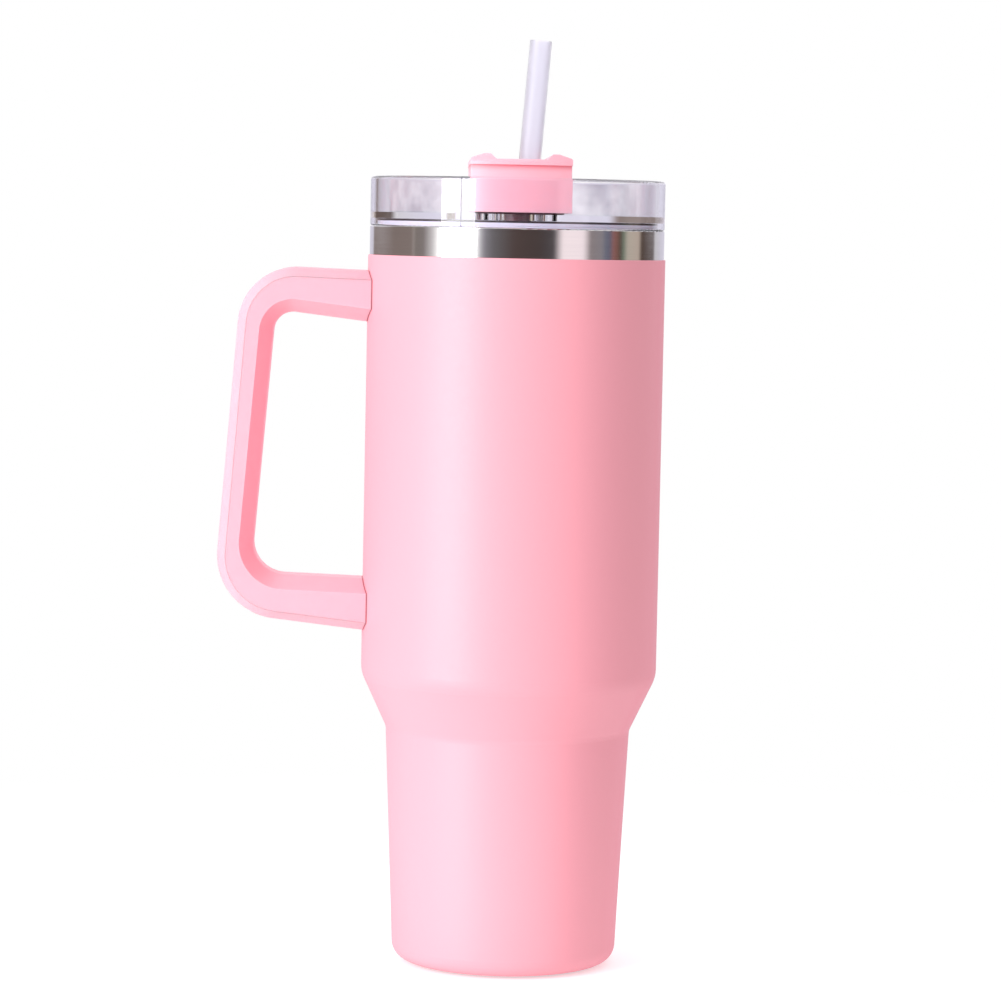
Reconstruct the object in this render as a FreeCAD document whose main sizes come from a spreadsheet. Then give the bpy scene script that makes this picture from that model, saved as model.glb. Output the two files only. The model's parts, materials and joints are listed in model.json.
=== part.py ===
import FreeCAD, Part
import math
import os
import re
import Sketcher

# Insulated tumbler with a screw-on lid, a turning cover, a straw and a side handle.
# The origin is the centre of the foot pad's resting face, +Z is up, and the handle points along -X.
# Driving dimensions: millimetres and degrees. Heights are measured from the resting face.
SIZES = {
    # outer shell
    "body_radius": 49.0,
    "shell_wall": 0.5,
    "shell_top": 234.2,
    "shell_edge_round": 0.3,
    "shoulder_top": 96.2,
    "shoulder_top_round": 11.0,
    "taper_top": 78.1,
    "taper_top_radius": 40.5,
    "shoulder_foot_round": 4.5,
    "base_radius": 37.0,
    "base_round": 5.8,
    "stand_off": 0.4,
    "base_opening_radius": 31.0,
    # inner liner and its rolled mouth collar
    "mouth_radius": 45.2,
    "liner_wall": 0.5,
    "rim_top": 243.8,
    "rim_round": 0.9,
    "collar_edge_round": 0.35,
    "collar_radius": 48.5,
    "collar_wall": 1.2,
    "collar_gap": 0.06,
    "collar_tongue": 4.0,
    "joint_gap": 0.05,
    "liner_taper_radius": 36.4,
    "liner_base_radius": 33.2,
    "liner_floor": 12.0,
    "liner_base_round": 6.0,
    # screw thread between liner and lid
    "thread_lead": 12.0,
    "thread_span": 200.0,
    "thread_depth": 1.0,
    "thread_bite": 0.2,
    "thread_crest": 1.4,
    "thread_root": 2.4,
    "plug_thread_start": 232.2,
    "mouth_thread_start": 235.2,
    # sealed base
    "base_plate_thickness": 0.6,
    "base_plate_radius": 31.6,
    "dimple_radius": 9.0,
    "dimple_depth": 1.6,
    "port_radius": 1.0,
    "bead_radius": 2.2,
    "bead_thickness": 0.9,
    "getter_radius": 5.0,
    "getter_thickness": 1.8,
    "getter_reach": 20.0,
    "foil_thickness": 0.2,
    "foil_foot": 106.0,
    "foil_top": 224.0,
    "pad_radius": 30.0,
    "pad_thickness": 0.85,
    "pad_edge_round": 0.3,
    # handle: side outline of the flat flanks
    "arm_root": -46.0,
    "handle_width": 26.0,
    "flank_outer_top_root": 225.8,
    "flank_outer_top_reach": -87.1,
    "flank_outer_top": 227.0,
    "flank_outer_foot_reach": -95.2,
    "flank_outer_foot": 118.7,
    "flank_outer_foot_root": 113.2,
    "flank_outer_top_round": 16.2,
    "flank_outer_foot_round": 18.0,
    "flank_inner_top_root": 216.2,
    "flank_inner_top_reach": -83.1,
    "flank_inner_top": 220.5,
    "flank_inner_foot_reach": -90.8,
    "flank_inner_foot": 124.4,
    "flank_inner_foot_root": 122.9,
    "flank_inner_top_round": 11.0,
    "flank_inner_foot_round": 15.1,
    "outer_crown": 3.0,
    "outer_facet": 5.0,
    "outer_crown_round": 5.0,
    "inner_crown": 4.4,
    "inner_facet": 8.0,
    "inner_crown_round": 4.0,
    "handle_gap": 0.1,
    # handle channel, cover lips, brackets and screws
    "channel_width": 20.0,
    "channel_floor": 0.8,
    "upper_seat": 220.9,
    "lower_seat": 120.4,
    "seat_reach": -66.0,
    "lip_depth": 2.0,
    "lip_wall": 1.0,
    "bracket_width": 16.0,
    "bracket_reach": -64.0,
    "bracket_plate": 2.5,
    "bracket_height": 4.4,
    "bracket_flange": -51.6,
    "bracket_gap": 0.05,
    "screw_near": -55.0,
    "screw_far": -61.0,
    "screw_radius": 1.45,
    "screw_hole_radius": 1.5,
    "screw_length": 7.6,
    "screw_head_radius": 2.6,
    "screw_head_height": 1.7,
    "screw_socket_radius": 1.3,
    "screw_socket_depth": 1.0,
    # lid
    "lid_radius": 48.5,
    "lid_wall": 2.2,
    "lid_top": 259.9,
    "lid_foot": 243.85,
    "lid_edge_round": 0.9,
    "lid_floor_under": 246.2,
    "lid_floor_top": 248.2,
    "plug_radius": 43.9,
    "plug_wall": 2.0,
    "plug_foot": 230.2,
    "pivot_bore_radius": 4.05,
    "pivot_boss_radius": 6.2,
    "pivot_boss_foot": 242.2,
    "slot_half_width": 4.2,
    "slot_turn": 90.0,
    "sip_reach": 36.0,
    "sip_length": 22.0,
    "sip_width": 8.0,
    "sip_round": 3.6,
    "vent_reach": 38.0,
    "vent_radius": 1.0,
    "gasket_inner_radius": 44.0,
    "gasket_outer_radius": 46.2,
    "gasket_foot": 243.85,
    "gasket_top": 246.1,
    "gasket_round": 0.6,
    # turning cover
    "cover_foot": 248.8,
    "cover_half_width": 16.1,
    "cover_end_radius": 45.7,
    "cover_wall": 2.0,
    "cut_margin": 4.8,
    "plate_foot": 263.9,
    "plate_half_width": 16.3,
    "plate_end_radius": 46.9,
    "plate_edge_top": 266.0,
    "end_slope": 1.0,
    "end_round": 1.0,
    "ridge_outer_reach": 11.9,
    "ridge_inner_reach": 9.9,
    "ridge_top": 267.4,
    "ridge_round": 0.8,
    "valley_reach": 8.1,
    "valley_top": 265.7,
    "valley_round": 0.8,
    "hub_radius": 6.0,
    "shaft_radius": 4.0,
    "shaft_foot": 239.8,
    "clip_groove_foot": 240.4,
    "clip_groove_top": 242.0,
    "clip_groove_radius": 3.2,
    "ring_groove_foot": 243.8,
    "ring_groove_top": 245.3,
    "ring_groove_radius": 2.7,
    "seal_foot": 248.3,
    "seal_top": 249.6,
    "seal_gap": 0.2,
    "hollow_half_length": 41.0,
    "hollow_round": 6.0,
    "clip_radius": 5.9,
    "clip_thickness": 1.5,
    "clip_mouth": 5.0,
    "ring_major_radius": 3.38,
    "ring_minor_radius": 0.6,
    # straw and its grommet
    "straw_lean": 4.3,
    "straw_side": 4.0,
    "straw_depth": 11.5,
    "straw_level": 267.2,
    "straw_top": 305.8,
    "straw_length": 292.0,
    "straw_radius": 3.65,
    "straw_wall": 0.75,
    "straw_hole_radius": 4.1,
    "straw_boss_radius": 7.4,
    "grommet_radius": 5.4,
    "grommet_bore_radius": 3.72,
    "grommet_foot": 261.6,
    "grommet_height": 4.4,
}

# Pieces that aren't bodies: groups of separate solids.
GROUPS = ("handle_screws",)

document = FreeCAD.newDocument("tumbler")
sheet = document.addObject("Spreadsheet::Sheet", "Sizes")


def fill_sheet():
    """Put every driving dimension in a named cell of the sheet."""
    for row, (alias, number) in enumerate(SIZES.items(), start=1):
        sheet.set("A%d" % row, alias)
        sheet.set("B%d" % row, str(number))
        sheet.setAlias("B%d" % row, alias)
    document.recompute()


def linked(text):
    """The expression with each dimension's name pointing at its cell in the sheet."""
    def cell(word):
        return "Sizes." + word.group() if word.group() in SIZES else word.group()

    return re.sub(r"[a-z_]+", cell, text)


def value(text):
    """The expression's present value."""
    return float(sheet.evalExpression(text))


def bind(feature, **expressions):
    """Bind the feature's properties to expressions of the driving dimensions."""
    for name, text in expressions.items():
        feature.setExpression(name, linked(text))


def new_body(label):
    """An empty body for one piece."""
    body = document.addObject("PartDesign::Body", label)
    body.Label = label
    return body


def origin_item(body, role):
    """One of the body's own origin planes or axes."""
    return next(item for item in body.Origin.OriginFeatures if item.Role == role)


def new_sketch(body, name, plane, offset="0"):
    """An empty sketch on one of the body's origin planes, moved along its normal by the offset."""
    sketch = body.newObject("Sketcher::SketchObject", name)
    sketch.AttachmentSupport = [(origin_item(body, plane), "")]
    sketch.MapMode = "FlatFace"
    sketch.setExpression("AttachmentOffset.Base.z", linked(offset))
    return sketch


def place_point(sketch, name, line, end, across, up):
    """Hold one end of a line at a place given by two expressions."""
    for kind, text in (("DistanceX", across), ("DistanceY", up)):
        index = sketch.addConstraint(Sketcher.Constraint(kind, -1, 1, line, end, value(text)))
        sketch.renameConstraint(index, "%s_%s" % (name, kind))
        sketch.setExpression("Constraints.%s_%s" % (name, kind), linked(text))


def draw_lines(sketch, corners, closed):
    """Straight lines from corner to corner; a corner's third entry is the radius of its round."""
    places = [FreeCAD.Vector(value(corner[0]), value(corner[1]), 0) for corner in corners]
    first = sketch.GeometryCount
    lines = len(corners) if closed else len(corners) - 1
    for index in range(lines):
        sketch.addGeometry(Part.LineSegment(places[index], places[(index + 1) % len(places)]), False)
    for index in range(lines if closed else lines - 1):
        following = first + (index + 1) % lines
        sketch.addConstraint(Sketcher.Constraint("Coincident", first + index, 2, following, 1))
    for index, corner in enumerate(corners):
        line, end = (first + index, 1) if index < lines else (first + lines - 1, 2)
        place_point(sketch, "corner%d" % index, line, end, corner[0], corner[1])
    for index, corner in enumerate(corners):
        if len(corner) == 3:
            round_corner(sketch, first + index, "round%d" % index, corner[2])


def round_corner(sketch, line, name, radius):
    """Round the corner where a line starts, keeping the corner's place."""
    sketch.fillet(line, 1, value(radius), True, True)
    arc = max(index for index, item in enumerate(sketch.Geometry) if isinstance(item, Part.ArcOfCircle))
    index = sketch.addConstraint(Sketcher.Constraint("Radius", arc, value(radius)))
    sketch.renameConstraint(index, name)
    sketch.setExpression("Constraints." + name, linked(radius))


def outline(body, name, plane, corners, offset="0"):
    """A closed outline through the corners."""
    sketch = new_sketch(body, name, plane, offset)
    draw_lines(sketch, corners, True)
    return sketch


def path(body, name, plane, corners):
    """An open path through the corners."""
    sketch = new_sketch(body, name, plane)
    draw_lines(sketch, corners, False)
    return sketch


def box_outline(body, name, plane, centre, half_width, half_height, offset="0", radius=None):
    """A rectangle about a centre, with rounded corners if a radius is given."""
    tail = () if radius is None else (radius,)
    signs = ((-1, -1), (1, -1), (1, 1), (-1, 1))
    corners = []
    for side, up in signs:
        across = "%s + %d * (%s)" % (centre[0], side, half_width)
        along = "%s + %d * (%s)" % (centre[1], up, half_height)
        corners.append((across, along) + tail)
    return outline(body, name, plane, corners, offset)


def circles(body, name, rings, offset="0", plane="XY_Plane"):
    """Circles, each given by its centre and radius."""
    sketch = new_sketch(body, name, plane, offset)
    for index, (across, up, radius) in enumerate(rings):
        centre = FreeCAD.Vector(value(across), value(up), 0)
        circle = sketch.addGeometry(Part.Circle(centre, FreeCAD.Vector(0, 0, 1), value(radius)), False)
        place_point(sketch, "centre%d" % index, circle, 3, across, up)
        constraint = sketch.addConstraint(Sketcher.Constraint("Radius", circle, value(radius)))
        sketch.renameConstraint(constraint, "radius%d" % index)
        sketch.setExpression("Constraints.radius%d" % index, linked(radius))
    return sketch


def add_solid(body, kind, name, sketch, **settings):
    """A feature that adds material."""
    feature = body.newObject("PartDesign::" + kind, name)
    feature.Profile = sketch
    for key, setting in settings.items():
        setattr(feature, key, setting)
    return feature


def pad(body, name, sketch, length, symmetric=False):
    """Material along the sketch's normal."""
    feature = add_solid(body, "Pad", name, sketch, Midplane=symmetric)
    bind(feature, Length=length)
    document.recompute()
    return feature


def revolve(body, name, sketch):
    """Material all round the sketch's vertical axis."""
    feature = add_solid(body, "Revolution", name, sketch, ReferenceAxis=(sketch, ["V_Axis"]), Angle=360)
    document.recompute()
    return feature


def check_cut(body, feature, before):
    """Stop if a cutting feature has removed nothing."""
    document.recompute()
    if feature.Shape.Volume >= before - 1e-6:
        raise RuntimeError("%s: %s cut nothing" % (body.Label, feature.Label))


def pocket(body, name, sketch, length, symmetric=False, upward=False):
    """A cut along the sketch's normal."""
    before = body.Shape.Volume
    feature = add_solid(body, "Pocket", name, sketch, Midplane=symmetric, Reversed=upward)
    bind(feature, Length=length)
    check_cut(body, feature, before)
    return feature


def groove(body, name, sketch):
    """A cut all round the sketch's vertical axis."""
    before = body.Shape.Volume
    feature = add_solid(body, "Groove", name, sketch, ReferenceAxis=(sketch, ["V_Axis"]), Angle=360)
    check_cut(body, feature, before)
    return feature


def two_start_thread(body, name, root, crest, start):
    """Two equal helical ridges, half a turn apart."""
    profile = outline(body, name + "_profile", "XZ_Plane", [
        (root, start + " - thread_root / 2"),
        (crest, start + " - thread_crest / 2"),
        (crest, start + " + thread_crest / 2"),
        (root, start + " + thread_root / 2"),
    ])
    document.recompute()
    ridge = add_solid(
        body, "AdditiveHelix", name + "_ridge", profile, ReferenceAxis=(profile, ["V_Axis"]), Mode=0
    )
    bind(ridge, Pitch="thread_lead", Height="thread_lead * thread_span / 360")
    document.recompute()
    pattern = body.newObject("PartDesign::PolarPattern", name)
    pattern.Originals = [ridge]
    pattern.Axis = (origin_item(body, "Z_Axis"), [""])
    pattern.Angle = 360
    pattern.Occurrences = 2
    body.Tip = pattern
    document.recompute()


def straw_x(level):
    """The straw leans towards +X: where its axis is at a given height."""
    return "straw_side - tan(straw_lean) * (straw_level - (%s))" % level


def lean_with_straw(item, level):
    """Stand an object on the straw's axis at a given height, leaning as the straw does."""
    item.Placement = FreeCAD.Placement(FreeCAD.Vector(), FreeCAD.Rotation(FreeCAD.Vector(0, 1, 0), 1))
    item.setExpression("Placement.Rotation.Angle", linked("straw_lean"))
    item.setExpression("Placement.Base.x", linked(straw_x(level)))
    item.setExpression("Placement.Base.y", linked("straw_depth"))
    item.setExpression("Placement.Base.z", linked(level))


def bore_for_straw(body, name, radius, level, height):
    """Cut a leaning bore round the straw's axis, upward from a given height."""
    before = body.Shape.Volume
    bore = body.newObject("PartDesign::SubtractiveCylinder", name)
    bind(bore, Radius=radius, Height=height)
    lean_with_straw(bore, level)
    check_cut(body, bore, before)


def make_outer_shell():
    """Painted steel shell: straight body, shoulder, and a taper that fits a cup holder."""
    body = new_body("outer_shell")
    profile = outline(body, "shell_profile", "XZ_Plane", [
        ("base_opening_radius", "stand_off"),
        ("base_radius", "stand_off", "base_round"),
        ("taper_top_radius", "taper_top", "shoulder_foot_round"),
        ("body_radius", "shoulder_top", "shoulder_top_round"),
        ("body_radius", "shell_top", "shell_edge_round"),
        ("body_radius - shell_wall", "shell_top"),
        ("body_radius - shell_wall", "shoulder_top", "shoulder_top_round - shell_wall"),
        ("taper_top_radius - shell_wall", "taper_top", "shoulder_foot_round + shell_wall"),
        ("base_radius - shell_wall", "stand_off + shell_wall", "base_round - shell_wall"),
        ("base_opening_radius", "stand_off + shell_wall"),
    ])
    revolve(body, "shell", profile)


def make_inner_liner():
    """Steel liner, turned over at the mouth into the bare collar that closes the shell."""
    body = new_body("inner_liner")
    profile = outline(body, "liner_profile", "XZ_Plane", [
        ("0", "liner_floor - liner_wall"),
        ("liner_base_radius + liner_wall", "liner_floor - liner_wall", "liner_base_round + liner_wall"),
        ("liner_taper_radius + liner_wall", "taper_top", "shoulder_foot_round"),
        ("mouth_radius + liner_wall", "shoulder_top", "shoulder_top_round"),
        ("mouth_radius + liner_wall", "rim_top - collar_wall"),
        ("collar_radius - collar_wall", "rim_top - collar_wall"),
        ("collar_radius - collar_wall", "shell_top - collar_tongue"),
        ("body_radius - shell_wall - joint_gap", "shell_top - collar_tongue"),
        ("body_radius - shell_wall - joint_gap", "shell_top + collar_gap"),
        ("collar_radius", "shell_top + collar_gap"),
        ("collar_radius", "rim_top", "collar_edge_round"),
        ("mouth_radius", "rim_top", "rim_round"),
        ("mouth_radius", "shoulder_top", "shoulder_top_round - liner_wall"),
        ("liner_taper_radius", "taper_top", "shoulder_foot_round + liner_wall"),
        ("liner_base_radius", "liner_floor", "liner_base_round"),
        ("0", "liner_floor"),
    ])
    revolve(body, "liner", profile)
    two_start_thread(
        body, "mouth_thread", "mouth_radius + thread_bite", "mouth_radius - thread_depth",
        "mouth_thread_start"
    )


def make_base_plate():
    """Steel disc that closes the shell from inside, with a dimple round the pump-out port."""
    body = new_body("base_plate")
    under = "stand_off + shell_wall + joint_gap"
    profile = outline(body, "plate_profile", "XZ_Plane", [
        ("port_radius", under + " + dimple_depth"),
        ("dimple_radius - dimple_depth", under + " + dimple_depth"),
        ("dimple_radius", under),
        ("base_plate_radius", under),
        ("base_plate_radius", under + " + base_plate_thickness"),
        ("dimple_radius", under + " + base_plate_thickness"),
        ("dimple_radius - dimple_depth", under + " + base_plate_thickness + dimple_depth"),
        ("port_radius", under + " + base_plate_thickness + dimple_depth"),
    ])
    revolve(body, "plate", profile)


def make_vacuum_seal_bead():
    """Bead of solder glass in the dimple, over the pump-out port."""
    body = new_body("vacuum_seal_bead")
    top = "stand_off + shell_wall + dimple_depth"
    profile = outline(body, "bead_profile", "XZ_Plane", [
        ("0", top + " - bead_thickness"),
        ("bead_radius", top + " - bead_thickness", "bead_thickness / 2"),
        ("bead_radius", top),
        ("0", top),
    ])
    revolve(body, "bead", profile)


def make_getter():
    """Getter disc on the base plate, inside the vacuum."""
    body = new_body("getter")
    base = "stand_off + shell_wall + base_plate_thickness + 2 * joint_gap"
    disc = circles(body, "getter_outline", [("getter_reach", "0", "getter_radius")], base)
    pad(body, "getter_disc", disc, "getter_thickness")


def make_insulation_foil():
    """Copper foil wrapped round the liner, inside the vacuum."""
    body = new_body("insulation_foil")
    inner = "mouth_radius + liner_wall + joint_gap"
    outer = inner + " + foil_thickness"
    ring = circles(body, "foil_outline", [("0", "0", inner), ("0", "0", outer)], "foil_foot")
    pad(body, "foil", ring, "foil_top - foil_foot")


def make_foot_pad():
    """Soft pad in the base opening; it stands a little proud and carries the tumbler."""
    body = new_body("foot_pad")
    profile = outline(body, "pad_profile", "XZ_Plane", [
        ("0", "0"),
        ("pad_radius", "0", "pad_edge_round"),
        ("pad_radius", "pad_thickness"),
        ("0", "pad_thickness"),
    ])
    revolve(body, "pad", profile)


def flank_line(side):
    """Corners of one edge of the handle's flat flanks, from the upper root to the lower root."""
    edge = "flank_" + side
    return [
        ("arm_root", edge + "_top_root"),
        (edge + "_top_reach", edge + "_top", edge + "_top_round"),
        (edge + "_foot_reach", edge + "_foot", edge + "_foot_round"),
        ("arm_root", edge + "_foot_root"),
    ]


def sweep(body, name, profile, spine):
    """Material swept along a path."""
    document.recompute()
    feature = add_solid(body, "AdditivePipe", name, profile, Spine=(spine, []))
    document.recompute()
    return feature


def cut_to_shell(body):
    """Hollow out the arm ends so that they fit round the shell."""
    shell = circles(body, "shell_clearance", [("0", "0", "body_radius + handle_gap")])
    pocket(body, "shell_fit", shell, "2 * rim_top", symmetric=True)


def make_handle_frame():
    """Handle frame: crowned inner face, flat flanks, and a channel open on the outer side."""
    body = new_body("handle_frame")
    flanks = outline(body, "flank_outline", "XZ_Plane", flank_line("outer") + flank_line("inner")[::-1])
    pad(body, "flanks", flanks, "handle_width", symmetric=True)
    spine = path(body, "inner_path", "XZ_Plane", flank_line("inner"))
    edge, root = "handle_width / 2", "flank_inner_top_root"
    crest = root + " - inner_crown"
    section = outline(body, "inner_section", "YZ_Plane", [
        ("-1 * " + edge, root),
        ("-1 * %s + inner_facet" % edge, crest, "inner_crown_round"),
        (edge + " - inner_facet", crest, "inner_crown_round"),
        (edge, root),
    ], "arm_root")
    sweep(body, "inner_face", section, spine)
    foot_corner = ("flank_inner_foot_reach - channel_floor", "flank_inner_foot - channel_floor")
    top_corner = ("flank_inner_top_reach - channel_floor", "flank_inner_top + channel_floor")
    channel = outline(body, "channel_outline", "XZ_Plane", flank_line("outer") + [
        ("arm_root", "lower_seat"),
        ("seat_reach", "lower_seat"),
        foot_corner + ("flank_inner_foot_round",),
        top_corner + ("flank_inner_top_round",),
        ("seat_reach", "upper_seat"),
        ("arm_root", "upper_seat"),
    ])
    pocket(body, "channel", channel, "channel_width", symmetric=True)
    cut_to_shell(body)
    for name, seat, upward in (("upper", "upper_seat", False), ("lower", "lower_seat", True)):
        holes = circles(body, name + "_hole_outline", [
            ("screw_near", "0", "screw_hole_radius"),
            ("screw_far", "0", "screw_hole_radius"),
        ], seat)
        pocket(body, name + "_screw_holes", holes, "screw_length - bracket_plate", upward=upward)


def make_handle_outer_cover():
    """Crowned strip that closes the handle's channel, with two lips inside it."""
    body = new_body("handle_outer_cover")
    spine = path(body, "outer_path", "XZ_Plane", flank_line("outer"))
    lip_side = "(channel_width / 2 - joint_gap)"
    root = "flank_outer_top_root + joint_gap"
    profile = outline(body, "cover_section", "YZ_Plane", [
        ("-1 * handle_width / 2", root),
        ("-1 * handle_width / 2 + outer_facet", root + " + outer_crown", "outer_crown_round"),
        ("handle_width / 2 - outer_facet", root + " + outer_crown", "outer_crown_round"),
        ("handle_width / 2", root),
        (lip_side, root),
        (lip_side, root + " - lip_depth"),
        (lip_side + " - lip_wall", root + " - lip_depth"),
        (lip_side + " - lip_wall", root),
        ("-1 * %s + lip_wall" % lip_side, root),
        ("-1 * %s + lip_wall" % lip_side, root + " - lip_depth"),
        ("-1 * " + lip_side, root + " - lip_depth"),
        ("-1 * " + lip_side, root),
    ], "arm_root")
    sweep(body, "strip", profile, spine)
    cut_to_shell(body)


def make_handle_bracket(label, seat, away):
    """Steel bracket welded to the shell: an upright flange and a plate with two screw holes."""
    body = new_body(label)
    base = "%s %s bracket_gap" % (seat, away)
    profile = outline(body, "bracket_outline", "XZ_Plane", [
        ("arm_root", base),
        ("bracket_reach", base),
        ("bracket_reach", "%s %s bracket_plate" % (base, away)),
        ("bracket_flange", "%s %s bracket_plate" % (base, away)),
        ("bracket_flange", "%s %s bracket_height" % (base, away)),
        ("arm_root", "%s %s bracket_height" % (base, away)),
    ])
    pad(body, "bracket", profile, "bracket_width", symmetric=True)
    shell = circles(body, "shell_clearance", [("0", "0", "body_radius + joint_gap")])
    pocket(body, "shell_fit", shell, "2 * rim_top", symmetric=True)
    holes = circles(body, "hole_outline", [
        ("screw_near", "0", "screw_hole_radius"),
        ("screw_far", "0", "screw_hole_radius"),
    ])
    pocket(body, "screw_holes", holes, "2 * rim_top", symmetric=True)


def cylinder(name, radius, height, across, level):
    """An upright cylinder on the XZ plane."""
    piece = document.addObject("Part::Cylinder", name)
    bind(piece, Radius=radius, Height=height)
    piece.setExpression("Placement.Base.x", linked(across))
    piece.setExpression("Placement.Base.z", linked(level))
    return piece


def make_screw(name, across, seat, head_up):
    """One pan-head screw with a hexagon socket, its head on the bracket's plate."""
    reach = "bracket_plate + 2 * bracket_gap"
    if head_up:
        bearing = "%s + %s" % (seat, reach)
        shank_foot, head_foot = bearing + " - screw_length", bearing
        socket_foot = bearing + " + screw_head_height - screw_socket_depth"
    else:
        bearing = "%s - %s" % (seat, reach.replace("+", "-"))
        shank_foot, head_foot = bearing, bearing + " - screw_head_height"
        socket_foot = head_foot
    shank = cylinder(name + "_shank", "screw_radius", "screw_length", across, shank_foot)
    head = cylinder(name + "_head", "screw_head_radius", "screw_head_height", across, head_foot)
    whole = document.addObject("Part::Fuse", name + "_blank")
    whole.Base = shank
    whole.Tool = head
    socket = document.addObject("Part::Prism", name + "_socket")
    socket.Polygon = 6
    bind(socket, Circumradius="screw_socket_radius", Height="screw_socket_depth")
    socket.setExpression("Placement.Base.x", linked(across))
    socket.setExpression("Placement.Base.z", linked(socket_foot))
    screw = document.addObject("Part::Cut", name)
    screw.Base = whole
    screw.Tool = socket
    return screw


def make_handle_screws():
    """The four screws that hold the handle frame to its brackets."""
    screws = [
        make_screw("upper_near_screw", "screw_near", "upper_seat", True),
        make_screw("upper_far_screw", "screw_far", "upper_seat", True),
        make_screw("lower_near_screw", "screw_near", "lower_seat", False),
        make_screw("lower_far_screw", "screw_far", "lower_seat", False),
    ]
    group = document.addObject("Part::Compound", "handle_screws")
    group.Links = screws
    group.Label = "handle_screws"


def make_lid_body():
    """Clear lid: upright ring, floor, threaded plug and the boss for the cover's pivot."""
    body = new_body("lid_body")
    ring_inside = "lid_radius - lid_wall"
    profile = outline(body, "lid_profile", "XZ_Plane", [
        ("pivot_bore_radius", "pivot_boss_foot"),
        ("pivot_boss_radius", "pivot_boss_foot"),
        ("pivot_boss_radius", "lid_floor_under"),
        ("plug_radius - plug_wall", "lid_floor_under"),
        ("plug_radius - plug_wall", "plug_foot"),
        ("plug_radius", "plug_foot"),
        ("plug_radius", "lid_floor_under"),
        (ring_inside, "lid_floor_under"),
        (ring_inside, "lid_foot"),
        ("lid_radius", "lid_foot", "lid_edge_round / 2"),
        ("lid_radius", "lid_top", "lid_edge_round"),
        (ring_inside, "lid_top", "lid_edge_round"),
        (ring_inside, "lid_floor_top"),
        ("pivot_bore_radius", "lid_floor_top"),
    ])
    revolve(body, "lid", profile)
    sip = box_outline(
        body, "sip_outline", "XY_Plane", ("0", "-1 * sip_reach"), "sip_length / 2", "sip_width / 2",
        "lid_floor_top", "sip_round"
    )
    pocket(body, "sip_opening", sip, "lid_floor_top - lid_floor_under")
    vent = circles(body, "vent_outline", [("0", "vent_reach", "vent_radius")], "lid_floor_top")
    pocket(body, "vent_hole", vent, "lid_floor_top - lid_floor_under")
    cut_straw_slot(body)
    two_start_thread(
        body, "plug_thread", "plug_radius - thread_bite", "plug_radius + thread_depth", "plug_thread_start"
    )


def cut_straw_slot(body):
    """Curved slot in the lid's floor: the straw travels along it when the cover turns."""
    sketch = new_sketch(body, "slot_outline", "XY_Plane", "lid_floor_top")
    across, up = straw_x("lid_floor_top"), "straw_depth"
    end_up = "(%s) * sin(slot_turn) + straw_depth * cos(slot_turn)" % across
    first = FreeCAD.Vector(value(across), value(up), 0)
    half_width = value("slot_half_width")
    start = math.atan2(first.y, first.x)
    end = start + math.radians(value("slot_turn"))
    last = FreeCAD.Vector(math.cos(end), math.sin(end), 0) * first.Length
    origin, normal = FreeCAD.Vector(), FreeCAD.Vector(0, 0, 1)
    for centre, radius, begin, finish in (
        (origin, first.Length + half_width, start, end),
        (origin, first.Length - half_width, start, end),
        (first, half_width, start + math.pi, start + 2 * math.pi),
        (last, half_width, end, end + math.pi),
    ):
        sketch.addGeometry(Part.ArcOfCircle(Part.Circle(centre, normal, radius), begin, finish), False)
    outer, inner, near, far = range(4)
    for arc in (outer, inner):
        sketch.addConstraint(Sketcher.Constraint("Coincident", arc, 3, -1, 1))
    for ends in ((outer, 1, near, 2), (outer, 2, far, 1), (inner, 1, near, 1), (inner, 2, far, 2)):
        sketch.addConstraint(Sketcher.Constraint("Tangent", *ends))
    place_point(sketch, "near", near, 3, across, up)
    for name, constraint, text in (
        ("far_up", Sketcher.Constraint("DistanceY", -1, 1, far, 3, last.y), end_up),
        ("cap_radius", Sketcher.Constraint("Radius", near, half_width), "slot_half_width"),
    ):
        sketch.renameConstraint(sketch.addConstraint(constraint), name)
        sketch.setExpression("Constraints." + name, linked(text))
    pocket(body, "straw_slot", sketch, "lid_floor_top - lid_floor_under")


def make_lid_gasket():
    """Soft ring between the lid's plug and skirt, pressed on the rim."""
    body = new_body("lid_gasket")
    profile = outline(body, "gasket_profile", "XZ_Plane", [
        ("gasket_inner_radius", "gasket_foot"),
        ("gasket_outer_radius", "gasket_foot", "gasket_round"),
        ("gasket_outer_radius", "gasket_top"),
        ("gasket_inner_radius", "gasket_top"),
    ])
    revolve(body, "gasket", profile)


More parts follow.
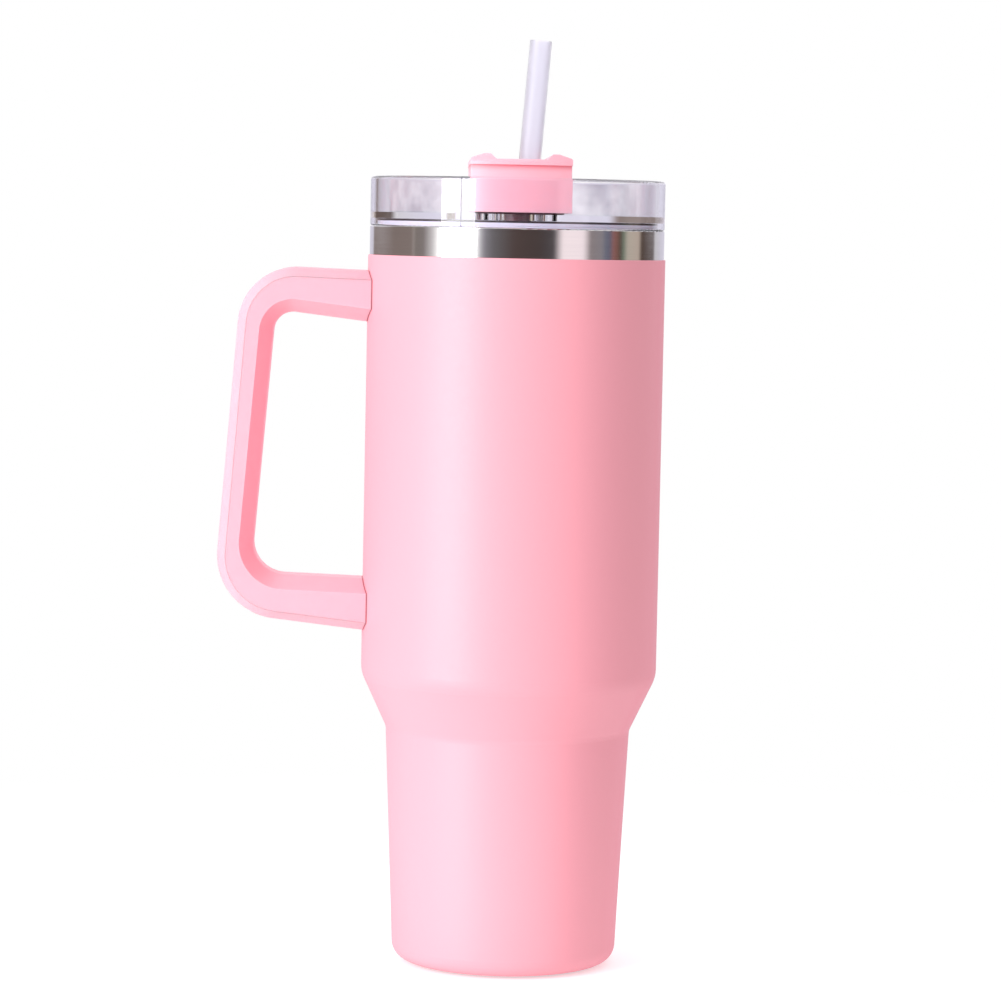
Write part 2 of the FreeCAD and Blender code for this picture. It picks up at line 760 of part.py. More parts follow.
def make_rotating_cover():
    """Turning cover: a hollow bar across the lid with a ridged top plate, a hub and a pivot shaft."""
    body = new_body("rotating_cover")
    block = box_outline(
        body, "block_outline", "XY_Plane", ("0", "0"), "cover_half_width", "body_radius", "cover_foot"
    )
    pad(body, "block", block, "plate_foot - cover_foot")
    plate = outline(body, "plate_section", "XZ_Plane", [
        ("-1 * plate_half_width", "plate_foot"),
        ("plate_half_width", "plate_foot"),
        ("plate_half_width", "plate_edge_top", "ridge_round"),
        ("ridge_outer_reach", "ridge_top", "ridge_round"),
        ("ridge_inner_reach", "ridge_top", "ridge_round"),
        ("valley_reach", "valley_top", "valley_round"),
        ("-1 * valley_reach", "valley_top", "valley_round"),
        ("-1 * ridge_inner_reach", "ridge_top", "ridge_round"),
        ("-1 * ridge_outer_reach", "ridge_top", "ridge_round"),
        ("-1 * plate_half_width", "plate_edge_top", "ridge_round"),
    ])
    pad(body, "plate", plate, "2 * body_radius", symmetric=True)
    beyond = "body_radius + cover_half_width"
    below, above = "cover_foot - cut_margin", "ridge_top + cut_margin"
    ends = outline(body, "ends_section", "XZ_Plane", [
        ("cover_end_radius", below),
        (beyond, below),
        (beyond, above),
        ("plate_end_radius - end_slope", above),
        ("plate_end_radius - end_slope", "ridge_top", "end_round"),
        ("plate_end_radius", "plate_edge_top - end_slope", "end_round"),
        ("plate_end_radius", "plate_foot"),
        ("cover_end_radius", "plate_foot"),
    ])
    groove(body, "rounded_ends", ends)
    hollow = box_outline(
        body, "hollow_outline", "XY_Plane", ("0", "0"), "cover_half_width - cover_wall", "hollow_half_length",
        "cover_foot", "hollow_round"
    )
    pocket(body, "hollow", hollow, "plate_foot - cover_foot", upward=True)
    inner_foot = "seal_top + seal_gap"
    straw_circle = (straw_x("grommet_foot"), "straw_depth", "straw_boss_radius")
    boss = circles(body, "straw_boss_outline", [straw_circle], inner_foot)
    pad(body, "straw_boss", boss, "plate_foot - seal_top")
    hub = circles(body, "hub_outline", [("0", "0", "hub_radius")], inner_foot)
    pad(body, "hub", hub, "plate_foot - seal_top")
    shaft = circles(body, "shaft_outline", [("0", "0", "shaft_radius")], "shaft_foot")
    pad(body, "shaft", shaft, "plate_foot - shaft_foot")
    for name in ("clip_groove", "ring_groove"):
        section = outline(body, name + "_section", "XZ_Plane", [
            (name + "_radius", name + "_foot"),
            ("hub_radius", name + "_foot"),
            ("hub_radius", name + "_top"),
            (name + "_radius", name + "_top"),
        ])
        groove(body, name, section)
    bore_height = "plate_foot - cover_foot + cut_margin"
    bore_for_straw(body, "straw_bore", "straw_hole_radius", "cover_foot", bore_height)
    seat_radius = "grommet_radius + joint_gap"
    bore_for_straw(body, "grommet_seat", seat_radius, "grommet_foot", "2 * grommet_height")


def make_cover_seal():
    """Soft sheet under the turning cover that wipes the lid's floor and shuts the sip opening."""
    body = new_body("cover_seal")
    sheet_outline = box_outline(
        body, "seal_outline", "XY_Plane", ("0", "0"), "cover_half_width - cover_wall - seal_gap",
        "hollow_half_length - seal_gap", "seal_foot", "hollow_round - seal_gap"
    )
    pad(body, "seal", sheet_outline, "seal_top - seal_foot")
    holes = circles(body, "seal_holes", [
        ("0", "0", "shaft_radius + seal_gap"),
        (straw_x("seal_top"), "straw_depth", "straw_hole_radius + seal_gap"),
    ], "seal_top")
    pocket(body, "holes", holes, "seal_top - seal_foot")


def make_retaining_clip():
    """Spring clip in the shaft's groove, under the lid's pivot boss."""
    body = new_body("retaining_clip")
    foot = "(clip_groove_foot + clip_groove_top - clip_thickness) / 2"
    bore = "clip_groove_radius + joint_gap"
    ring = circles(body, "clip_outline", [("0", "0", "clip_radius"), ("0", "0", bore)], foot)
    pad(body, "clip", ring, "clip_thickness")
    mouth = box_outline(
        body, "mouth_outline", "XY_Plane", ("clip_radius", "0"), "clip_radius", "clip_mouth / 2",
        "clip_groove_top"
    )
    pocket(body, "mouth", mouth, "2 * clip_thickness")


def make_pivot_o_ring():
    """Soft ring that seals the pivot shaft in the lid's bore."""
    body = new_body("pivot_o_ring")
    middle = "(ring_groove_foot + ring_groove_top) / 2"
    ring = [("ring_major_radius", middle, "ring_minor_radius")]
    section = circles(body, "ring_section", ring, plane="XZ_Plane")
    revolve(body, "ring", section)


def make_straw_grommet():
    """Soft sleeve in the turning cover that grips the straw."""
    body = new_body("straw_grommet")
    section = outline(body, "grommet_section", "XZ_Plane", [
        ("grommet_bore_radius", "joint_gap"),
        ("grommet_radius", "joint_gap"),
        ("grommet_radius", "grommet_height"),
        ("grommet_bore_radius", "grommet_height"),
    ])
    revolve(body, "grommet", section)
    lean_with_straw(body, "grommet_foot")


def make_straw():
    """Straight straw with square-cut ends, standing just clear of the liner's floor."""
    body = new_body("straw")
    bore = "straw_radius - straw_wall"
    ring = circles(body, "straw_outline", [("0", "0", "straw_radius"), ("0", "0", bore)])
    pad(body, "tube", ring, "straw_length")
    lean_with_straw(body, "straw_top - straw_length * cos(straw_lean)")


def check_and_write():
    """Check every object and write each piece to its own file."""
    document.recompute()
    for item in document.Objects:
        if "Invalid" in item.State or "Error" in item.State:
            raise RuntimeError("%s is in a bad state: %s" % (item.Label, item.State))
    pieces = [
        item for item in document.Objects if item.TypeId == "PartDesign::Body" or item.Label in GROUPS
    ]
    os.makedirs("parts", exist_ok=True)
    for piece in pieces:
        if piece.Shape.isNull() or not piece.Shape.isValid():
            raise RuntimeError("%s has no valid shape" % piece.Label)
    for piece in pieces:
        piece.Shape.exportStep("parts/%s.step" % piece.Label)


fill_sheet()
make_outer_shell()
make_inner_liner()
make_base_plate()
make_vacuum_seal_bead()
make_getter()
make_insulation_foil()
make_foot_pad()
make_handle_frame()
make_handle_outer_cover()
make_handle_bracket("upper_bracket", "upper_seat", "+")
make_handle_bracket("lower_bracket", "lower_seat", "-")
make_handle_screws()
make_lid_body()
make_lid_gasket()
make_rotating_cover()
make_cover_seal()
make_retaining_clip()
make_pivot_o_ring()
make_straw_grommet()
make_straw()
check_and_write()
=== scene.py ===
import json
import math

import bpy
from mathutils import Matrix, Vector


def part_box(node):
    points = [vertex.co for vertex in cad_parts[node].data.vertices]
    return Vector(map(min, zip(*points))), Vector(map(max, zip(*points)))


# An insulated tumbler with a clear lid, a turning cover, a straw and a side handle.
# Metres. The tumbler stands at the origin, its handle points along -X and the camera looks roughly along +Y.

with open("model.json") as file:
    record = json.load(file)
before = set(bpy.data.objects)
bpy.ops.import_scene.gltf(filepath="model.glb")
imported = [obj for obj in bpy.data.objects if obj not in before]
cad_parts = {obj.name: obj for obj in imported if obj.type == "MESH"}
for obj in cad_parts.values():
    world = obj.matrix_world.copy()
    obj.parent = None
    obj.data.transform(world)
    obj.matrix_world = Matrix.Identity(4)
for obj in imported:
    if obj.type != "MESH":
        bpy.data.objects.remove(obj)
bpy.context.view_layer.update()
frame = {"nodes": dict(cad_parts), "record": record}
nodes = frame["nodes"]
scene = bpy.context.scene

# Degrees round the tumbler from straight in front, positive towards +X.
CAMERA_TURN = -1.3


# ---------------------------------------------------------------- shader helpers

class Tree:
    """A node tree with short calls to add and link nodes. Colours are given as (red, green, blue)."""

    def __init__(self, tree):
        self.tree = tree
        tree.nodes.clear()

    def feed(self, socket, given):
        """Link a socket to another node's output, or set it to a plain value."""
        if isinstance(given, bpy.types.NodeSocket):
            self.tree.links.new(given, socket)
        elif socket.type == "RGBA":
            socket.default_value = (*given, 1.0)
        else:
            socket.default_value = given

    def add(self, kind, inputs=None, **settings):
        """A node; inputs are plain values or another node's output."""
        node = self.tree.nodes.new(kind)
        for name, setting in settings.items():
            setattr(node, name, setting)
        for name, given in (inputs or {}).items():
            self.feed(node.inputs[name], given)
        return node

    def math(self, operation, first, second=0.0, third=0.0):
        """One arithmetic step."""
        inputs = {0: first, 1: second, 2: third}
        return self.add("ShaderNodeMath", inputs, operation=operation).outputs[0]

    def remap(self, source, low, high, to_low, to_high):
        """A number carried from one range to another, held at the ends."""
        inputs = {"Value": source, "From Min": low, "From Max": high, "To Min": to_low, "To Max": to_high}
        return self.add("ShaderNodeMapRange", inputs).outputs["Result"]

    def colours(self, factor, first, second):
        """A blend of two colours."""
        # A colour mix keeps its factor in socket 0, its colours in 6 and 7, and its result in output 2.
        return self.add("ShaderNodeMix", {0: factor, 6: first, 7: second}, data_type="RGBA").outputs[2]

    def noise(self, place, scale, detail, roughness):
        """Plain noise, 0 to 1."""
        inputs = {"Vector": place, "Scale": scale, "Detail": detail, "Roughness": roughness}
        return self.add("ShaderNodeTexNoise", inputs).outputs["Fac"]

    def cells(self, place, scale, feature="F1"):
        """A pattern of cells: the distance from each cell's middle, or from its edge."""
        inputs = {"Vector": place, "Scale": scale}
        return self.add("ShaderNodeTexVoronoi", inputs, feature=feature).outputs["Distance"]

    def stretched(self, place, factors):
        """Coordinates stretched differently along each axis."""
        return self.add("ShaderNodeMapping", {"Vector": place, "Scale": factors}).outputs["Vector"]

    def bump(self, height, strength, distance, under=None):
        """A normal bent by a height, on top of another bend if one is given."""
        inputs = {"Height": height, "Strength": strength, "Distance": distance}
        if under is not None:
            inputs["Normal"] = under
        return self.add("ShaderNodeBump", inputs).outputs["Normal"]

    def ramp(self, factor, stops):
        """A colour ramp from (place, colour) stops."""
        node = self.add("ShaderNodeValToRGB", {"Fac": factor})
        elements = node.color_ramp.elements
        while len(elements) > 1:
            elements.remove(elements[-1])
        first_place, first_colour = stops[0]
        elements[0].position = first_place
        elements[0].color = (*first_colour, 1.0)
        for position, colour in stops[1:]:
            elements.new(position).color = (*colour, 1.0)
        return node.outputs["Color"]

    def place(self):
        """The object's own coordinates, in metres."""
        return self.add("ShaderNodeTexCoord").outputs["Object"]

    def split(self, vector):
        """A vector's x, y and z."""
        return tuple(self.add("ShaderNodeSeparateXYZ", {"Vector": vector}).outputs)

    def round_the_axis(self, place):
        """(turn in radians, radius, height) about the tumbler's axis."""
        x, y, z = self.split(place)
        turn = self.math("ARCTAN2", y, x)
        radius = self.math("SQRT", self.math("ADD", self.math("MULTIPLY", x, x), self.math("MULTIPLY", y, y)))
        return turn, radius, z

    def principled(self, inputs):
        """A Principled surface."""
        return self.add("ShaderNodeBsdfPrincipled", inputs).outputs[0]

    def finish(self, shader):
        """Link the shader to the material's output."""
        self.add("ShaderNodeOutputMaterial", {"Surface": shader})


def new_material(name):
    """An empty material and its tree."""
    material = bpy.data.materials.new(name)
    material.use_nodes = True
    return material, Tree(material.node_tree)


def ring_streaks(tree, place, around, along):
    """Noise drawn out into lines round the axis, with its scale around them and across them."""
    turn, radius, height = tree.round_the_axis(place)
    # Height and radius together carry the lines on over a flat rim.
    level = tree.math("ADD", height, radius)
    inputs = {
        "X": tree.math("MULTIPLY", tree.math("COSINE", turn), around),
        "Y": tree.math("MULTIPLY", tree.math("SINE", turn), around),
        "Z": tree.math("MULTIPLY", level, along),
    }
    vector = tree.add("ShaderNodeCombineXYZ", inputs).outputs[0]
    return tree.noise(vector, scale=1.0, detail=3.0, roughness=0.6)


# ---------------------------------------------------------------- materials

def powder_coat():
    """Satin pink powder coat: fine grain, a hint of orange peel, small drift in tone."""
    material, tree = new_material("powder_coat")
    place = tree.place()
    grain = tree.noise(place, scale=2600.0, detail=2.0, roughness=0.6)
    peel = tree.noise(place, scale=420.0, detail=2.0, roughness=0.5)
    drift = tree.noise(place, scale=14.0, detail=2.0, roughness=0.5)
    colour = tree.colours(drift, (0.865, 0.345, 0.405), (0.880, 0.360, 0.422))
    colour = tree.colours(tree.remap(grain, 0.35, 0.75, 0.0, 0.10), colour, (0.80, 0.27, 0.32))
    orange_peel = tree.bump(peel, strength=0.10, distance=0.0003)
    # The reflection fades at grazing angles, so that the edge stays readable against white.
    facing = tree.add("ShaderNodeLayerWeight", {"Blend": 0.5}).outputs["Facing"]
    tree.finish(tree.principled({
        "Base Color": colour, "IOR": 1.48,
        "Roughness": tree.remap(tree.math("ADD", grain, peel), 0.6, 1.4, 0.40, 0.48),
        "Normal": tree.bump(grain, strength=0.16, distance=0.00006, under=orange_peel),
        "Specular IOR Level": tree.remap(facing, 0.45, 0.72, 0.42, 0.05),
    }))
    return material


def brushed_steel():
    """Stainless steel brushed round the axis; satin and duller inside the cup."""
    collar_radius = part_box("inner_liner")[1][0]
    inside_radius = collar_radius - 0.0030
    outside_radius = collar_radius - 0.0025
    material, tree = new_material("brushed_steel")
    place = tree.place()
    fine = ring_streaks(tree, place, around=1.2, along=9000.0)
    broad = ring_streaks(tree, place, around=1.0, along=2600.0)
    streaks = tree.math("ADD", tree.math("MULTIPLY", fine, 0.65), tree.math("MULTIPLY", broad, 0.35))
    tone = tree.remap(streaks, 0.35, 0.65, 0.0, 1.0)
    inside = tree.remap(tree.round_the_axis(place)[1], inside_radius, outside_radius, 1.0, 0.0)
    brushed = tree.remap(fine, 0.3, 0.7, 0.10, 0.15)
    tree.finish(tree.principled({
        "Base Color": tree.colours(tone, (0.66, 0.65, 0.645), (0.70, 0.69, 0.68)),
        "Roughness": tree.math("MULTIPLY_ADD", inside, 0.28, brushed),
        "Metallic": tree.remap(inside, 0.0, 1.0, 1.0, 0.65),
        "Normal": tree.bump(streaks, strength=0.06, distance=0.00003),
        "Anisotropic": 0.6, "Anisotropic Rotation": 0.25,
        "Tangent": tree.add("ShaderNodeTangent", direction_type="RADIAL", axis="Z").outputs[0],
    }))
    return material


def plain_steel():
    """Mill-finish sheet steel for the brackets and the base plate."""
    material, tree = new_material("plain_steel")
    place = tree.place()
    cloud = tree.noise(place, scale=160.0, detail=4.0, roughness=0.6)
    lines = tree.noise(tree.stretched(place, (60.0, 3200.0, 3200.0)), scale=1.0, detail=2.0, roughness=0.5)
    tree.finish(tree.principled({
        "Base Color": tree.colours(cloud, (0.50, 0.50, 0.51), (0.60, 0.60, 0.61)),
        "Roughness": tree.remap(cloud, 0.3, 0.7, 0.26, 0.40), "Metallic": 1.0,
        "Normal": tree.bump(lines, strength=0.15, distance=0.00005),
    }))
    return material


def solder_glass():
    """Grey glassy bead with small bubbles."""
    material, tree = new_material("solder_glass")
    bubbles = tree.cells(tree.place(), scale=2200.0)
    tree.finish(tree.principled({
        "Base Color": tree.colours(bubbles, (0.20, 0.20, 0.23), (0.34, 0.34, 0.38)),
        "Roughness": tree.remap(bubbles, 0.0, 0.6, 0.08, 0.2),
        "Normal": tree.bump(bubbles, strength=0.2, distance=0.0001),
    }))
    return material


def getter_metal():
    """Sintered grey metal, coarse and porous."""
    material, tree = new_material("getter_metal")
    place = tree.place()
    pores = tree.cells(place, scale=2600.0)
    cloud = tree.noise(place, scale=700.0, detail=4.0, roughness=0.6)
    tree.finish(tree.principled({
        "Base Color": tree.colours(cloud, (0.07, 0.07, 0.08), (0.15, 0.15, 0.16)),
        "Roughness": tree.remap(cloud, 0.3, 0.7, 0.6, 0.85), "Metallic": 0.7,
        "Normal": tree.bump(pores, strength=0.5, distance=0.0002),
    }))
    return material


def copper_foil():
    """Thin bright copper foil with soft creases."""
    material, tree = new_material("copper_foil")
    place = tree.place()
    crease = tree.cells(place, scale=90.0, feature="DISTANCE_TO_EDGE")
    ripple = tree.noise(tree.stretched(place, (1.0, 1.0, 0.4)), scale=120.0, detail=3.0, roughness=0.6)
    height = tree.math("ADD", ripple, tree.math("MULTIPLY", crease, 0.4))
    tree.finish(tree.principled({
        "Base Color": tree.colours(ripple, (0.72, 0.33, 0.20), (0.80, 0.42, 0.27)),
        "Roughness": tree.remap(ripple, 0.3, 0.7, 0.14, 0.3), "Metallic": 1.0,
        "Normal": tree.bump(height, strength=0.35, distance=0.0006),
    }))
    return material


def silicone(name, light, dark, roughness, scatter=0.0):
    """Soft matt silicone with a faint bloom."""
    material, tree = new_material(name)
    place = tree.place()
    bloom = tree.noise(place, scale=90.0, detail=4.0, roughness=0.6)
    grain = tree.noise(place, scale=3000.0, detail=1.0, roughness=0.5)
    tree.finish(tree.principled({
        "Base Color": tree.colours(bloom, dark, light), "IOR": 1.42,
        "Roughness": tree.remap(bloom, 0.3, 0.7, roughness - 0.06, roughness + 0.06),
        "Normal": tree.bump(grain, strength=0.12, distance=0.00005),
        "Subsurface Weight": scatter, "Subsurface Radius": (0.004, 0.002, 0.002), "Subsurface Scale": 0.5,
    }))
    return material


def gasket_silicone():
    """Milky silicone, with painted shade along its top edge, under the lid's floor."""
    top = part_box("lid_gasket")[1][2]
    shade_starts, shade_is_full = top - 0.00075, top - 0.00060
    material, tree = new_material("clear_silicone")
    place = tree.place()
    cloud = tree.noise(place, scale=90.0, detail=4.0, roughness=0.6)
    milky = tree.colours(cloud, (0.62, 0.58, 0.70), (0.73, 0.69, 0.81))
    # Painted shade: the milky colour turns near-black in a thin band at the gasket's top edge.
    shade = tree.remap(tree.split(place)[2], shade_starts, shade_is_full, 0.0, 1.0)
    tree.finish(tree.principled({
        "Base Color": tree.colours(shade, milky, (0.022, 0.014, 0.020)), "IOR": 1.42,
        "Roughness": tree.remap(cloud, 0.3, 0.7, 0.44, 0.56),
        "Normal": tree.bump(cloud, strength=0.10, distance=0.0001),
        "Subsurface Weight": tree.remap(shade, 0.0, 1.0, 0.3, 0.0),
        "Subsurface Radius": (0.004, 0.002, 0.002), "Subsurface Scale": 0.5,
    }))
    return material


def shade_under_plate(tree, place):
    """0 to 1 for painted shade in the crease below the cover's top plate."""
    plate_depth = 0.0035
    crease_depth = 0.0022
    edge = 0.00005
    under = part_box("rotating_cover")[1][2] - plate_depth
    height = tree.split(place)[2]
    depth = tree.math("POWER", tree.remap(height, under - crease_depth, under, 0.0, 1.0), 1.5)
    return tree.math("MULTIPLY", depth, tree.remap(height, under - edge, under + edge, 1.0, 0.0))


def shade_at_shell(tree, place):
    """0 to 1 for painted shade where the handle's arms meet the cup's wall."""
    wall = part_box("outer_shell")[1][0]
    shade_is_full, shade_ends = wall + 0.00025, wall + 0.00055
    radius = tree.round_the_axis(place)[1]
    return tree.remap(radius, shade_is_full, shade_ends, 1.0, 0.0)


def moulded_pink(name, roughness, crease, painted_shade_colour):
    """Satin moulded plastic: faint spark texture, slow drift and painted shade in its crease."""
    material, tree = new_material(name)
    place = tree.place()
    spark = tree.noise(place, scale=1900.0, detail=2.0, roughness=0.6)
    drift = tree.noise(place, scale=30.0, detail=2.0, roughness=0.5)
    colour = tree.colours(drift, (0.890, 0.430, 0.505), (0.880, 0.415, 0.490))
    tree.finish(tree.principled({
        # Painted shade: the colour darkens to the shade colour where the crease mask rises.
        "Base Color": tree.colours(crease(tree, place), colour, painted_shade_colour), "IOR": 1.49,
        "Roughness": tree.remap(spark, 0.3, 0.7, roughness - 0.03, roughness + 0.05),
        "Normal": tree.bump(spark, strength=0.10, distance=0.00005),
        "Subsurface Weight": 0.5, "Subsurface Radius": (0.006, 0.003, 0.003), "Subsurface Scale": 0.6,
    }))
    return material


def screw_steel():
    """Turned stainless steel."""
    material, tree = new_material("screw_steel")
    cloud = tree.noise(tree.place(), scale=900.0, detail=3.0, roughness=0.6)
    tree.finish(tree.principled({
        "Base Color": tree.colours(cloud, (0.55, 0.55, 0.56), (0.66, 0.66, 0.67)),
        "Roughness": tree.remap(cloud, 0.3, 0.7, 0.18, 0.32), "Metallic": 1.0,
        "Normal": tree.bump(cloud, strength=0.08, distance=0.00005),
    }))
    return material


def thin_dark_line(tree, place):
    """0 to 1 on a thin dark vertical line down the outside of the lid's wall."""
    line_turn = math.radians(-113.1)
    full_width, faded_width = 0.00010, 0.00028
    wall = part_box("lid_body")[1][0]
    inner_limit, outer_limit = wall - 0.0006, wall - 0.0004
    turn, radius, _ = tree.round_the_axis(place)
    off = tree.math("MULTIPLY", tree.math("ABSOLUTE", tree.math("SUBTRACT", turn, line_turn)), wall)
    line = tree.remap(off, full_width, faded_width, 1.0, 0.0)
    return tree.math("MULTIPLY", line, tree.remap(radius, inner_limit, outer_limit, 0.0, 1.0))


def clear_plastic():
    """Clear moulded plastic with a faint violet tint; lamps and diffuse light pass straight through."""
    material, tree = new_material("clear_plastic")
    place = tree.place()
    flow = tree.noise(place, scale=35.0, detail=2.0, roughness=0.5)
    haze = tree.noise(place, scale=240.0, detail=3.0, roughness=0.6)
    tint = tree.colours(flow, (0.975, 0.970, 0.992), (0.985, 0.982, 0.996))
    glass = tree.principled({
        "Base Color": tree.colours(thin_dark_line(tree, place), tint, (0.06, 0.05, 0.08)), "IOR": 1.49,
        "Roughness": tree.remap(haze, 0.4, 0.9, 0.0, 0.03), "Transmission Weight": 1.0,
        "Normal": tree.bump(flow, strength=0.05, distance=0.0004),
    })
    through = tree.add("ShaderNodeBsdfTransparent", {"Color": (0.95, 0.945, 0.97)}).outputs[0]
    rays = tree.add("ShaderNodeLightPath").outputs
    passing = tree.math("MAXIMUM", rays["Is Shadow Ray"], rays["Is Diffuse Ray"])
    tree.finish(tree.add("ShaderNodeMixShader", {0: passing, 1: glass, 2: through}).outputs[0])
    return material


def frosted_plastic():
    """Translucent frosted straw plastic with faint drawing lines."""
    material, tree = new_material("frosted_plastic")
    place = tree.place()
    lines = tree.noise(tree.stretched(place, (1500.0, 1500.0, 12.0)), scale=1.0, detail=2.0, roughness=0.5)
    cloud = tree.noise(place, scale=120.0, detail=3.0, roughness=0.5)
    tree.finish(tree.principled({
        "Base Color": tree.colours(cloud, (0.940, 0.935, 0.985), (0.960, 0.955, 0.995)),
        "Roughness": tree.remap(cloud, 0.3, 0.7, 0.31, 0.38),
        "Transmission Weight": 0.92, "IOR": 1.25,
        "Normal": tree.bump(lines, strength=0.06, distance=0.0001),
    }))
    return material


FINISHES = {
    "powder_coat": powder_coat(),
    "brushed_steel": brushed_steel(),
    "plain_steel": plain_steel(),
    "solder_glass": solder_glass(),
    "getter_metal": getter_metal(),
    "copper_foil": copper_foil(),
    "foot_silicone": silicone("foot_silicone", (0.80, 0.42, 0.48), (0.76, 0.38, 0.44), 0.62),
    # The handle and the cover carry painted shade: darker at the cup's wall and under the top plate.
    "handle_plastic": moulded_pink("handle_plastic", 0.38, shade_at_shell, (0.42, 0.12, 0.15)),
    "screw_steel": screw_steel(),
    "clear_plastic": clear_plastic(),
    "clear_silicone": gasket_silicone(),
    "cover_plastic": moulded_pink("cover_plastic", 0.34, shade_under_plate, (0.80, 0.20, 0.25)),
    "dark_silicone": silicone("dark_silicone", (0.100, 0.030, 0.040), (0.070, 0.020, 0.028), 0.5),
    "pink_silicone": silicone("pink_silicone", (0.88, 0.40, 0.46), (0.84, 0.36, 0.42), 0.45, scatter=0.2),
    "frosted_plastic": frosted_plastic(),
}

for part in frame["record"]["subparts"]:
    node = nodes[part["node"]]
    node.data.materials.clear()
    node.data.materials.append(FINISHES[part["material_slot"]])


# ---------------------------------------------------------------- studio

# The world's functions take x, y and z as the parts of a looking direction one unit long.

def reflected_ring(tree, x, y):
    """Light and dark strips all round, which the steel band mirrors."""
    lilac = (0.74, 0.71, 0.83)
    grey_brown = (0.30, 0.24, 0.225)
    white = (1.6, 1.58, 1.6)
    # Degrees round the tumbler from the camera's side, positive towards +X, and the colour there.
    strips = [
        (-154, lilac), (-150, (0.26, 0.205, 0.19)), (-89.4, grey_brown), (-88, (0.52, 0.46, 0.44)),
        (-86.6, (0.28, 0.24, 0.225)), (-77.5, (0.29, 0.25, 0.245)), (-69, (0.78, 0.74, 0.76)),
        (-61.5, white), (-33.5, white), (-29, (0.62, 0.60, 0.66)), (-25, (0.29, 0.27, 0.31)),
        (-18, (0.178, 0.165, 0.178)), (-2, (0.107, 0.074, 0.070)), (16, (0.088, 0.064, 0.062)),
        (29, (0.095, 0.083, 0.092)), (35.6, (1.30, 1.13, 1.18)), (52.5, (1.28, 1.11, 1.17)),
        (59, (0.33, 0.28, 0.29)), (69, (0.33, 0.30, 0.33)), (73, (0.20, 0.21, 0.28)),
        (77, (0.17, 0.17, 0.24)), (80.5, (0.36, 0.16, 0.15)), (84, (0.28, 0.13, 0.11)),
        (88, (0.12, 0.09, 0.075)), (91.5, (0.22, 0.27, 0.21)), (96, (0.62, 0.55, 0.47)),
        (109.5, (0.63, 0.52, 0.45)), (114, (0.10, 0.065, 0.052)), (134, (0.13, 0.10, 0.095)),
        (137.5, (0.70, 0.68, 0.72)), (154, lilac),
    ]
    turn = tree.math("ARCTAN2", x, tree.math("MULTIPLY", y, -1.0))
    share = tree.math("ADD", tree.math("DIVIDE", turn, 2 * math.pi), 0.5)
    stops = [((degrees + CAMERA_TURN) / 360.0 + 0.5, colour) for degrees, colour in strips]
    return tree.ramp(share, stops)


def reflected_room(tree, direction, x, y, z):
    """What glossy and clear faces see: the ring, a ceiling, a table, a bright sky and a mottled back wall."""
    ceiling = (1.05, 1.05, 1.06)
    table = (0.95, 0.95, 0.95)
    dull_patch, bright_patch = (0.53, 0.51, 0.60), (0.93, 0.92, 0.98)
    sky = (1.15, 1.12, 1.21)
    room = reflected_ring(tree, x, y)
    room = tree.colours(tree.remap(z, 0.30, 0.62, 0.0, 1.0), room, ceiling)
    room = tree.colours(tree.remap(z, -0.45, -0.30, 1.0, 0.0), room, table)
    flattened = tree.stretched(direction, (34.0, 34.0, 110.0))
    patches = tree.noise(flattened, scale=1.0, detail=3.0, roughness=0.55)
    back_wall = tree.colours(tree.remap(patches, 0.32, 0.68, 0.0, 1.0), dull_patch, bright_patch)
    room = tree.colours(tree.remap(y, 0.985, 0.995, 0.0, 1.0), room, back_wall)
    above_level = tree.remap(z, 0.012, 0.018, 0.0, 1.0)
    upper_back = tree.math("MULTIPLY", tree.remap(y, 0.4, 0.7, 0.0, 1.0), above_level)
    return tree.colours(upper_back, room, sky)


def soft_room(tree, x, y, z):
    """What lights matt faces: a little brighter on the left and in front, more overhead, most behind."""
    right, left, front = (0.60, 0.59, 0.61), (0.72, 0.71, 0.73), (0.79, 0.78, 0.80)
    overhead, behind = (1.02, 1.01, 1.03), (1.4, 1.38, 1.42)
    soft = tree.colours(tree.remap(x, -1.0, 1.0, 1.0, 0.0), right, left)
    soft = tree.colours(tree.remap(y, -1.0, 0.0, 1.0, 0.0), soft, front)
    soft = tree.colours(tree.remap(z, 0.3, 0.9, 0.0, 1.0), soft, overhead)
    return tree.colours(tree.remap(y, 0.2, 0.9, 0.0, 1.0), soft, behind)


def build_world():
    """White to the camera, the soft room to matt faces and the reflected room to all others."""
    world = bpy.data.worlds.new("studio")
    world.use_nodes = True
    # The world differs by kind of ray, so it isn't sampled as a lamp.
    world.cycles.sampling_method = "NONE"
    scene.world = world
    tree = Tree(world.node_tree)
    direction = tree.add("ShaderNodeTexCoord").outputs["Generated"]
    x, y, z = tree.split(direction)
    rays = tree.add("ShaderNodeLightPath").outputs
    reflected = reflected_room(tree, direction, x, y, z)
    shown = tree.colours(rays["Is Diffuse Ray"], reflected, soft_room(tree, x, y, z))
    shown = tree.colours(rays["Is Camera Ray"], shown, (1.0, 1.0, 1.0))
    background = tree.add("ShaderNodeBackground", {"Color": shown, "Strength": 1.0}).outputs[0]
    tree.add("ShaderNodeOutputWorld", {"Surface": background})


def build_key_lamp():
    """A soft rectangular lamp at the front left, aimed at the tumbler's middle; the camera doesn't see it."""
    width, height, power = 0.652, 1.0, 18.3
    distance = 1.3
    turn, rise = math.radians(-47.7), math.radians(9.0)
    target = Vector((0.0, 0.0, 0.15))
    lamp = bpy.data.lights.new("key", "AREA")
    lamp.shape = "RECTANGLE"
    lamp.size, lamp.size_y = width, height
    lamp.energy = power
    holder = bpy.data.objects.new("key", lamp)
    scene.collection.objects.link(holder)
    away = Vector((math.sin(turn) * math.cos(rise), -math.cos(turn) * math.cos(rise), math.sin(rise)))
    holder.location = target + away * distance
    holder.rotation_euler = (-away).to_track_quat("-Z", "Y").to_euler()
    holder.visible_camera = False
    holder.visible_transmission = False


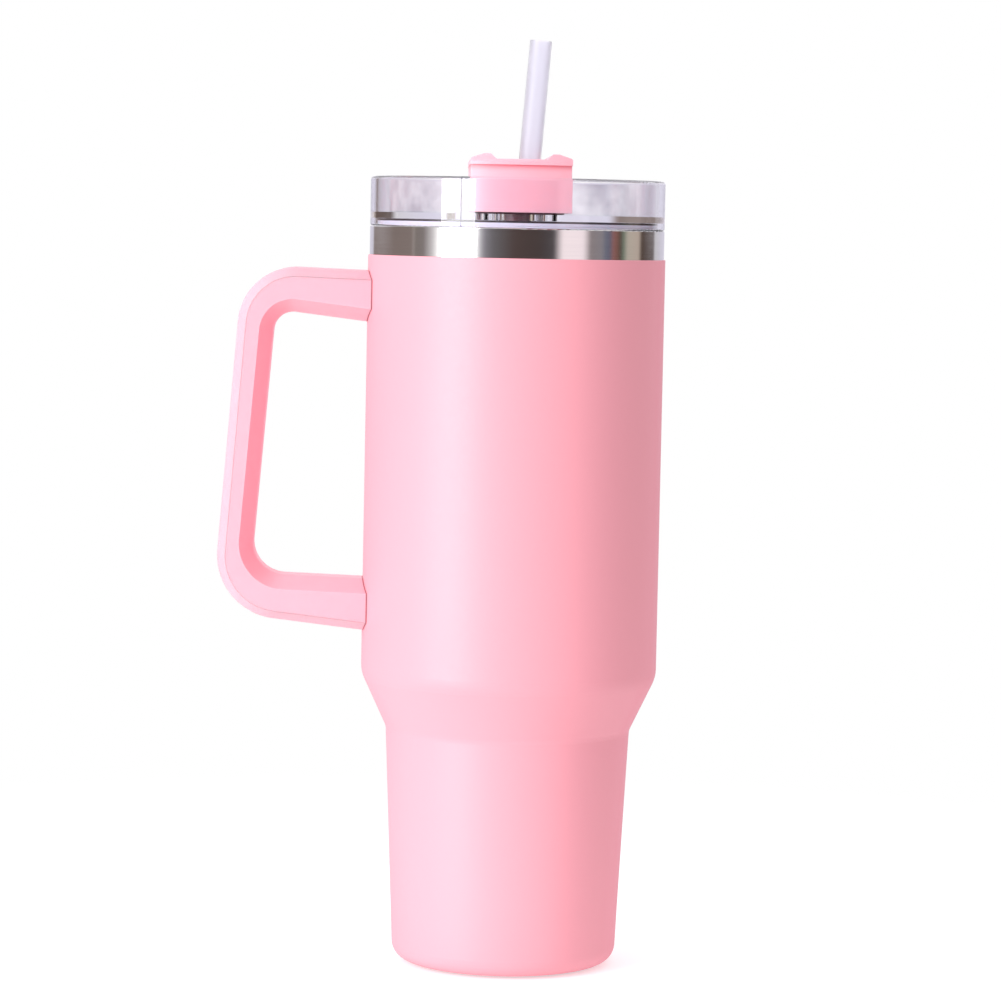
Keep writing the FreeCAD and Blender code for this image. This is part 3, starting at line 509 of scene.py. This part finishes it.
def build_floor():
    """A plain pale floor that fades into the white round the tumbler."""
    side = 12.0
    gap = 0.0002
    fade_starts, fade_ends = 0.10, 0.42
    mesh = bpy.data.meshes.new("floor")
    corners = [(-side, -side, 0.0), (side, -side, 0.0), (side, side, 0.0), (-side, side, 0.0)]
    mesh.from_pydata(corners, [], [(0, 1, 2, 3)])
    floor = bpy.data.objects.new("floor", mesh)
    scene.collection.objects.link(floor)
    floor.location.z = -gap
    floor.visible_glossy = False
    material, tree = new_material("floor_paper")
    place = tree.place()
    tone = tree.noise(place, scale=3.0, detail=2.0, roughness=0.5)
    paper = tree.principled({
        "Base Color": tree.colours(tone, (0.72, 0.72, 0.73), (0.74, 0.74, 0.75)),
        "Roughness": 0.9, "Specular IOR Level": 0.0,
        "Emission Color": (1.0, 1.0, 1.0), "Emission Strength": 0.42,
    })
    clear = tree.add("ShaderNodeBsdfTransparent").outputs[0]
    reach = tree.add("ShaderNodeVectorMath", {0: place}, operation="LENGTH").outputs["Value"]
    fade = tree.remap(reach, fade_starts, fade_ends, 0.0, 1.0)
    tree.finish(tree.add("ShaderNodeMixShader", {0: fade, 1: paper, 2: clear}).outputs[0])
    mesh.materials.append(material)


def build_camera():
    """A long lens just above the rim's height, with a slight look down and a slight roll."""
    distance, height = 1.25, 0.2453
    look_down, look_aside, roll = math.radians(4.196), math.radians(0.1725), math.radians(1.153)
    lens = bpy.data.cameras.new("camera")
    lens.lens, lens.sensor_width = 135.96, 36.0
    camera = bpy.data.objects.new("camera", lens)
    scene.collection.objects.link(camera)
    turn = math.radians(CAMERA_TURN)
    camera.location = (distance * math.sin(turn), -distance * math.cos(turn), height)
    look = (
        Matrix.Rotation(turn + look_aside, 3, "Z")
        @ Matrix.Rotation(math.radians(90.0) - look_down, 3, "X")
        @ Matrix.Rotation(roll, 3, "Z")
    )
    camera.rotation_euler = look.to_euler()
    scene.camera = camera


build_world()
build_key_lamp()
build_floor()
build_camera()
scene.view_settings.view_transform = "Standard"
